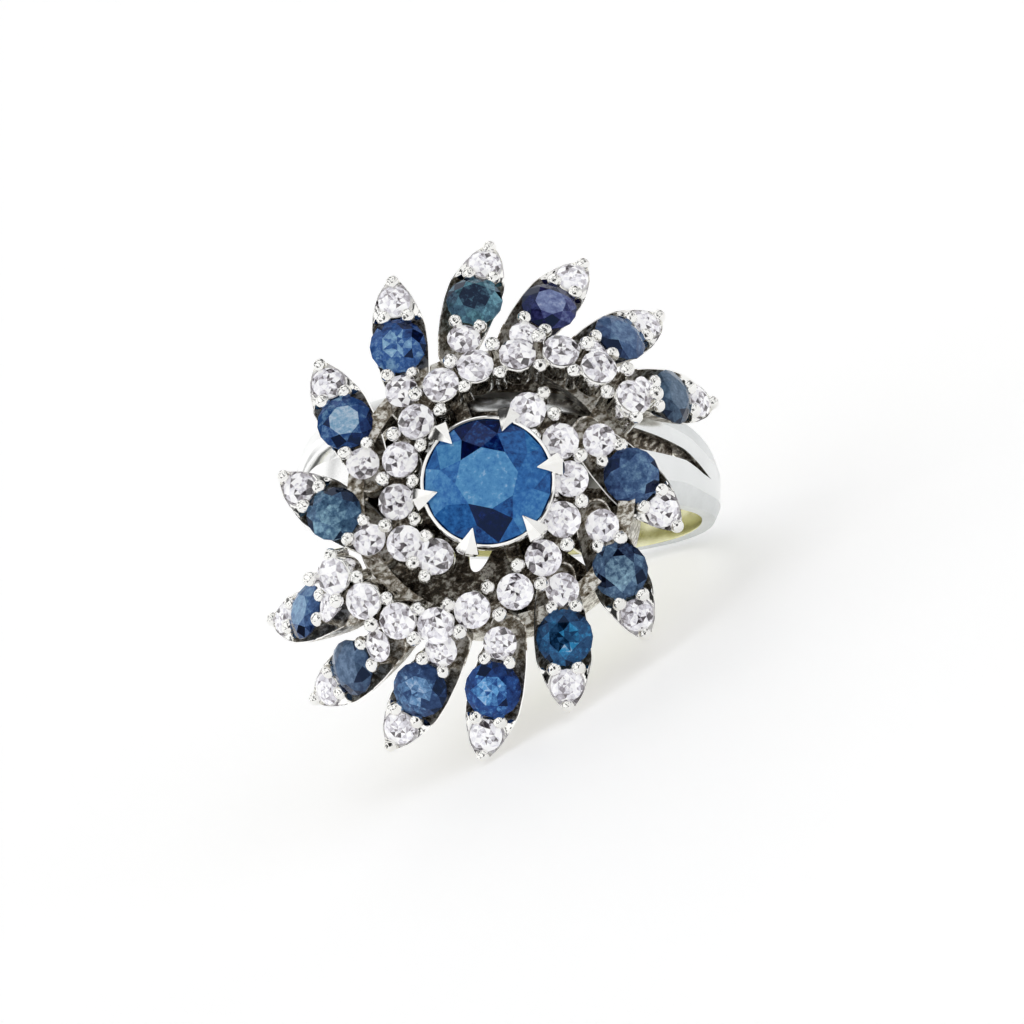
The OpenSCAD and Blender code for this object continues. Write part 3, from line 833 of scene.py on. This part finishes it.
# %% Cup, spokes and claws
CUP = [(0, -3), (1.4, -3), (1.7, -2.9), (2.4, -1.9), (2.95, -0.9), (3.1, -0.45), (3.1, 0.02),
       (3.07, 0.1), (3.01, 0.12), (2.94, 0.1), (2.93, -0.15), (2.8, -0.33), (1.5, -1.45),
       (0, -2.62)]
SPOKE_ENDS, SPOKE_HALF = np.array([[1.9, 0, -2.5], [6.2, 0, -2.5]]), 0.38
SPOKES, CLAWS = 20 + 90 * np.arange(4), 13.5 + 60 * np.arange(6)  # their angles
CLAW_SLOPE, CLAW_LONG, CLAW_HEEL = np.radians(32), 1.28, (3.42, -0.18)
CLAW_AT = [0, 0.12, 0.3, 0.65, 1.0]  # places along the claw, and there its half width and height
CLAW_HALF, CLAW_HIGH = [0.42, 0.54, 0.45, 0.22, 0.02], [0.34, 0.44, 0.38, 0.22, 0.04]
POST = [[3.02, 0, -1.3], [3.15, 0, -0.6], [3.22, 0, 0.12]]


def claw():
    """Five-sided sections from the heel to the point, along the slope of the crown, and a post."""
    t, half, high = (np.array(row)[:, None] for row in (CLAW_AT, CLAW_HALF, CLAW_HIGH))
    y = half * [-1, -1, 0, 1, 1]
    h = high * [0, 0.4, 1, 0.4, 0]
    x = CLAW_HEEL[0] - CLAW_LONG * t * np.cos(CLAW_SLOPE) + h * np.sin(CLAW_SLOPE)
    z = CLAW_HEEL[1] + CLAW_LONG * t * np.sin(CLAW_SLOPE) + h * np.cos(CLAW_SLOPE)
    s = rounded(0.15, 0.27) * np.array([0.7, 0.9, 1.0])[:, None, None]
    post = np.array(POST)[:, None] + np.concatenate([s, 0 * s[..., :1]], 2)
    return lofted(np.stack([x, y, z], -1)) + lofted(post)


def round_about(shape, angles):
    """Copies of a shape turned about the axis of the cluster."""
    return shape.placed((np.zeros((len(angles), 3)), turn(2, angles)))


# Spokes and the cup's lower outside are dark brown painted shade
spoke = beam(*SPOKE_ENDS, SPOKE_HALF, SPOKE_HALF, M_RECESS_SHADE)
metal("centre_setting", revolved(CUP, 96, [M_RECESS_SHADE] * 4 + [M_BRIGHT] * 9)
      + round_about(spoke, SPOKES) + round_about(claw(), CLAWS))

# %% [markdown]
# ## Rays
# Each ray is a little boat of metal, open above. It is wide on one side, where a dark strip of
# its inside, painted shade, shows beside the stones, and it ends in a polished point round the
# tip diamond. A box under Subdivision Surface would come close, but the rims have to meet the
# round stones. So its outside and inside are functions of the place along the ray and of the way
# round from rim to rim.

# %% Ray bodies
STERN, BOW = -3.49, 3.45  # ends of a ray, from the middle of its sapphire
KEEL = [STERN, -2.195, 0.0, 2.17, BOW], [-1.8, -1.9, -1.55, -1.2, -0.6]
RIM = [STERN, -2.4, 0.0, 1.3, 1.9, BOW], [-0.55, -0.32, -0.22, -0.14, -0.05, -0.02]
NARROW = ([STERN, -2.195, -1.2, 0, 1.0, 1.77, 2.6, 3.2, BOW],
          [0.5, 0.7, 0.95, 1.12, 1.18, 1.02, 0.72, 0.28, 0.03])
WIDE = ([STERN, -2.195, -1.2, 0, 1.0, 1.67, 2.6, 3.2, BOW],
        [0.9, 1.22, 1.36, 1.42, 1.36, 1.14, 0.72, 0.28, 0.03])
STERN_ROUND, BOW_ROUND = 0.45, 0.5  # lengths over which the ends are rounded
RAY_WALL, HOLLOW_STERN, HOLLOW_BOW, HOLLOW_DEEP = 0.045, -3.4, 3.0, 0.8
SEAT_X, SEAT_R, SEAT_TOP, SEAT_SLOPE = 1.15, 0.82, -0.1, 0.85  # cone under the tip diamond
SHADE_LINE_WIDE, SHADE_LINE_NARROW, SHADE_LINE_FALL = 1.5, 0.7, 0.45  # where the polish starts at each rim, and the slope of the line below which is painted shade


def eased(x, table):
    """Values read from a table of places, then softened over 0.3 mm by averaging."""
    steps = np.linspace(-0.15, 0.15, 7)
    first, last = table[0][0], table[0][-1]
    return np.mean([np.interp(np.clip(x + d, first, last), *table) for d in steps], 0)


def ray_body(side):
    """Two nested boats. At each station the section is a deep U: across goes as the sine and
    down as the cosine of the way round, each to a power that squares its corners. The stern is
    rounded as a circle, and the hollow rises to a cone under the tip diamond."""
    n, m = 56, 25
    way = np.linspace(-90, 90, m)
    across = np.sign(way) * np.abs(np.sin(np.radians(way))) ** 0.55
    down = np.abs(np.cos(np.radians(way))) ** 0.7
    sheets = []
    for wall, start, end in ((0.0, STERN, BOW), (RAY_WALL, HOLLOW_STERN, HOLLOW_BOW)):
        u = (1 - np.cos(np.linspace(0, np.pi, n))) / 2
        x = (start + (end - start) * u)[:, None]
        stern = np.sqrt(1 - np.clip(1 - (x - start) / STERN_ROUND, 0, 1) ** 2)
        bow = np.minimum(1, (np.clip((end - x) / BOW_ROUND, 0, 1) if wall else 1) ** 0.5)
        half = np.where(way * side > 0, eased(x, WIDE) - 0.2 * wall, eased(x, NARROW)) - wall
        half = np.maximum(half * stern * bow, 0.015)
        rim, keel = eased(x, RIM), eased(x, KEEL)
        depth = np.minimum(rim - keel, HOLLOW_DEEP) if wall else rim - keel
        depth = depth * (0.35 + 0.65 * stern) * (0.3 + 0.7 * bow)
        y = half * across * (1 - 0.25 * down)
        z = rim - depth * down
        if wall:
            y = y + (half * way / 90 - y) * (x > 1.3)  # even steps across the seat
            cone = SEAT_TOP - SEAT_SLOPE * np.clip(SEAT_R - np.hypot(x - TIP_X, y), 0, None)
            z = z + (np.minimum(rim, cone) - z) * np.clip((x - SEAT_X) / 0.25, 0, 1)
        sheets.append(np.stack([np.broadcast_to(x, y.shape), y, z], -1))

    def outside(at):
        """Polished near the bow, down to a line that falls from the rim; below it, painted shade.
        """
        x, y, z = at.T
        start = np.where(y * side > 0, SHADE_LINE_WIDE, SHADE_LINE_NARROW)
        return np.where(z > eased(x, RIM) - SHADE_LINE_FALL * (x - start), M_BRIGHT, M_HALF_SHADE)

    def ahead_of(start):
        """Polished from this place on, towards the bow; behind it, painted shade."""
        return lambda at: np.where(at[:, 0] > start, M_BRIGHT, M_HALF_SHADE)

    # Towards the stern the inside and the edges carry painted shade
    return walled(*sheets, grid(n, m), (outside, ahead_of(1.35), ahead_of(-2.0)))


wide_side = RAYS[:, 5]
metal("ray_bodies", joined(ray_body(s).placed((RAY[0][wide_side == s], RAY[1][wide_side == s]))
                           for s in (-1, 1)))


# %% [markdown]
# Four prongs stand where a sapphire and a diamond meet, each touching both, and a fifth at the
# point of the ray. A prong is a wire whose end is pushed over into a bead. A ball on a rod would
# show a seam, so wire and bead are turned in one.

# %% Prongs and beads of the rays
def prong(foot, wire, bead, middle):
    """A wire that ends in a bead, turned as one profile: straight up, then an arc a little
    flatter than a circle."""
    neck = -np.sqrt(1 - (wire / bead) ** 2)
    a = np.linspace(np.arcsin(neck), np.pi / 2, 9)
    arc = np.stack([bead * np.cos(a), middle + 0.9 * bead * np.sin(a)], 1)
    arc[-1, 0] = 0
    return revolved(np.vstack([[[0, foot], [wire, foot]], arc]), 16, M_BEAD)


def kept_clear(x, d, reach=0.2):
    """Where a prong touches both the sapphire and a diamond of diameter d at x: its middle is the
    reach away from both circles."""
    a, b = SAPPHIRE_D / 2 + reach, d / 2 + reach
    px = (a * a - b * b + x * x) / (2 * x)
    return px, np.sqrt(a * a - px * px)


corners = [(px, side * py) for px, py in (kept_clear(INNER_X, INNER_D), kept_clear(TIP_X, TIP_D))
           for side in (-1, 1)]
ray_prong = prong(foot=-1.1, wire=0.17, bead=0.35, middle=0.1)
tip_prong = prong(foot=-0.5, wire=0.17, bead=0.32, middle=0.08)
TIP_PRONG_X = 3.11
metal("ray_prongs", joined(ray_prong.placed(along(RAY, x, y)) for x, y in corners)
      + tip_prong.placed(along(RAY, TIP_PRONG_X)), smooth=50)

# %% [markdown]
# ## Struts
# Each ray stands on a strut from its root down to the gallery wall. The rays could reach inwards
# instead, but a bar between two points is easier to aim.

# %% Struts
STRUT_ROOT, STRUT_IN = (-3.2, 0, -1.3), 0.6  # on a ray's own axes, and how far on into the ray
STRUT_FOOT_R, STRUT_FALL = 6.1, 0.6
STRUT_HALF_W, STRUT_HALF_T = 0.3, 0.36
root = along(RAY, *STRUT_ROOT)[0]
bearing = np.arctan2(root[:, 1], root[:, 0])
foot = polar(STRUT_FOOT_R, bearing, root[:, 2] - STRUT_FALL)
heel = root + STRUT_IN * RAY[1][:, :, 0]
# The struts are in the lighter painted shade
metal("struts", joined(beam(p, q, STRUT_HALF_W, STRUT_HALF_T, M_HALF_SHADE)
                       for p, q in zip(foot, heel)))

# %% [markdown]
# ## The two arms
# The diamonds of each arm sit in a row of linked collets, on a wall that goes down inside the
# gallery. Wire prongs stand on both sides between every two stones. An Array modifier along a
# curve would space them evenly, which the real ones aren't, so each stands where its stone is.

# %% Arms
COLLET = [(0.83, -0.17), (0.85, -0.25), (0.86, -1.2), (0.8, -1.32), (0.5, -1.32), (0.5, -0.9),
          (0.7, -0.3), (0.76, -0.17), (0.8, -0.14)]
LINK_DROP, LINK_HALF_W, LINK_HALF_T = 0.95, 0.5, 0.42
PRONG_OUT = 0.7  # from the middle line of the arm
END_AHEAD, END_OUT, START_OUT = 0.68, 0.72, 1.04  # the two prongs at the end, the one at the start
WALL_HALF, WALL_DROP, WALL_LONG = 0.22, 0.9, 5  # half its width, its top and foot below the stones
WALL_FOOT, WALL_REACH = 9.4, 6.4  # radii round the finger and round the cluster's axis


def arm_metal(where):
    """Collets, links and the wall below them, which stays inside the gallery and clear of the
    finger."""
    at, axes = where
    # The collet's lower wall is the lighter painted shade; links and the wall below are dark brown
    # painted shade
    finish = [M_BRIGHT] * 2 + [M_HALF_SHADE] * 4 + [M_BRIGHT] * 3
    out = revolved(COLLET, 28, finish, closed=True).placed(where)
    down = [0, 0, LINK_DROP]
    for p, q in zip(at[:-1], at[1:]):
        out = out + beam(p - down, q - down, LINK_HALF_W, LINK_HALF_T, M_RECESS_SHADE)
    inside = at[np.hypot(at[:, 0], at[:, 1]) < WALL_REACH]
    t = np.linspace(0, len(inside) - 1, 4 * len(inside) - 3)
    path = np.stack([np.interp(t, np.arange(len(inside)), inside[:, k]) for k in range(3)], 1)
    ahead = np.gradient(path, axis=0)
    across = np.stack([-ahead[:, 1], ahead[:, 0], 0 * ahead[:, 2]], 1)
    across /= np.linalg.norm(across, axis=1)[:, None]
    top = path[:, 2] - WALL_DROP
    low = np.maximum(path[:, 2] - WALL_LONG, over_finger(path[:, 0], WALL_FOOT))
    wall = np.stack([np.column_stack([(path + s * WALL_HALF * across)[:, :2], z])
                     for s, z in ((-1, top), (1, top), (1, low), (-1, low))], 1)
    return out + lofted(wall, M_RECESS_SHADE)


def arm_prongs(where):
    """Wires halfway between neighbours on both sides, and three more at the arm's ends."""
    at, axes = where
    middle, ahead = (at[:-1] + at[1:]) / 2, at[1:] - at[:-1]
    across = np.cross(ahead, [0, 0, 1])
    across /= np.linalg.norm(across, axis=1)[:, None]
    wire = prong(foot=-1.0, wire=0.26, bead=0.35, middle=0.1)
    out = joined(wire.placed((middle + s * PRONG_OUT * across, axes[:-1])) for s in (-1, 1))
    last = ahead[-1] / np.linalg.norm(ahead[-1])
    ends = [at[-1] + END_AHEAD * last + s * END_OUT * across[-1] for s in (-1, 1)]
    start = at[0] + START_OUT * across[0] * np.sign(across[0] @ at[0])
    return out + wire.placed((np.array(ends + [start]), axes[[-1, -1, 0]]))


for where, letter in zip(ARMS, "ab"):
    metal(f"arm_{letter}", arm_metal(where))
    metal(f"arm_{letter}_prongs", arm_prongs(where), smooth=50)


# %% [markdown]
# ## Floor and light
# The ring lies in a white tent, so its metal reflects white nearly everywhere. The opening for
# the camera and gaps in the cloth give it dark accents. Lamps would show as hard squares in
# every bead, so the world itself is the tent.

# %% Floor
bpy.ops.mesh.primitive_plane_add(size=4, location=(0, 0, float(cad_low[2])))
floor = bpy.context.object
floor.name = "floor"
floor.data.materials.append(Finish("floor_pale").feed(
    Base_Color=(0.96, 0.96, 0.96, 1), Roughness=0.55, Emission_Color=(1, 1, 1, 1),
    Emission_Strength=0.215))
floor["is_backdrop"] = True
print("floor at", round(float(cad_low[2]) / MM, 1), "mm")

# %% White tent
scene = bpy.context.scene
scene.view_settings.view_transform = "Standard"
scene.world = bpy.data.worlds.new("tent")
scene.world.use_nodes = True
TENT_LIGHT = 1.15
OPENING = [11, 18]  # degrees from its middle: dark up to the first, white from the second


def tent(opening, aside):
    """White cloth, dimmer towards the side `aside`, dark in the opening for the camera and in
    scattered gaps, which are the low values of a coarse noise on the direction."""
    sky = Graph(scene.world.node_tree)
    where = sky.add("ShaderNodeTexCoord")

    def step(value, low, high, dark):
        """From dark at low to white at high."""
        stops = [(low, [dark] * 3), (high, [1.0] * 3)]
        return sky.add("ShaderNodeValToRGB", stops=stops, Fac=value)

    def towards(direction):
        """0 to 1: half of one plus the cosine of the angle to a direction."""
        dot = sky.add("ShaderNodeVectorMath", {"operation": "DOT_PRODUCT"}, output=1,
                      ordered=(where, direction))
        return 0.5 * dot + 0.5

    def both(a, b):
        return sky.add("ShaderNodeVectorMath", {"operation": "MULTIPLY"}, ordered=(a, b))

    cloth = sky.add("ShaderNodeTexNoise", Vector=where, Scale=3.0, Detail=2.0)
    hole = step(towards(-opening), *(0.5 - 0.5 * np.cos(np.radians(OPENING))), 0.03)
    gaps = step(cloth, 0.40, 0.46, 0.04)
    side = step(towards(-aside), 0.0, 0.7, 0.7)
    sky.give(sky.tree.nodes["Background"], Color=both(both(hole, gaps), side),
             Strength=TENT_LIGHT)


# %% [markdown]
# ## Camera
# The camera looks at the cluster's face from slightly below and to the right of it. It could be
# turned by hand until the picture fits, but two angles to the face, read from the foreshortened
# stones, are easier to correct.

# %% Camera
BETA, ALPHA = np.radians(4.0), np.radians(12.5)  # to the right of the face, and below it
DISTANCE, PX, PICTURE, SENSOR = 420, 22.0, 1024, 36
CENTRE_PX = 488, 482  # the cluster's centre in the picture, from its upper left corner
out = np.array([np.sin(BETA) * np.cos(ALPHA), -np.sin(ALPHA), np.cos(BETA) * np.cos(ALPHA)])
right = np.array([np.cos(BETA), 0, -np.sin(BETA)])
up = np.cross(out, right)
lens = bpy.data.cameras.new("camera")
lens.lens, lens.sensor_width = PX * DISTANCE * SENSOR / PICTURE, SENSOR
lens.clip_start, lens.clip_end = 0.01, 20
eye = bpy.data.objects.new("camera", lens)
scene.collection.objects.link(eye)
aside, below = (PICTURE / 2 - c for c in CENTRE_PX)
m = np.eye(4)
m[:3, :3] = LAID @ np.stack([right, up, out], 1)
m[:3, 3] = from_head(out * DISTANCE + right * aside / PX - up * below / PX)
eye.matrix_world = Matrix(m.tolist())
scene.camera = eye
opening = np.cos(np.radians(7)) * out + np.sin(np.radians(7)) * up  # 7 degrees above the camera
tent(LAID @ opening, LAID @ right)
print("camera at", np.round(m[:3, 3], 3), "lens", round(lens.lens, 1), "mm")

# %% Finish
low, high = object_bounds()
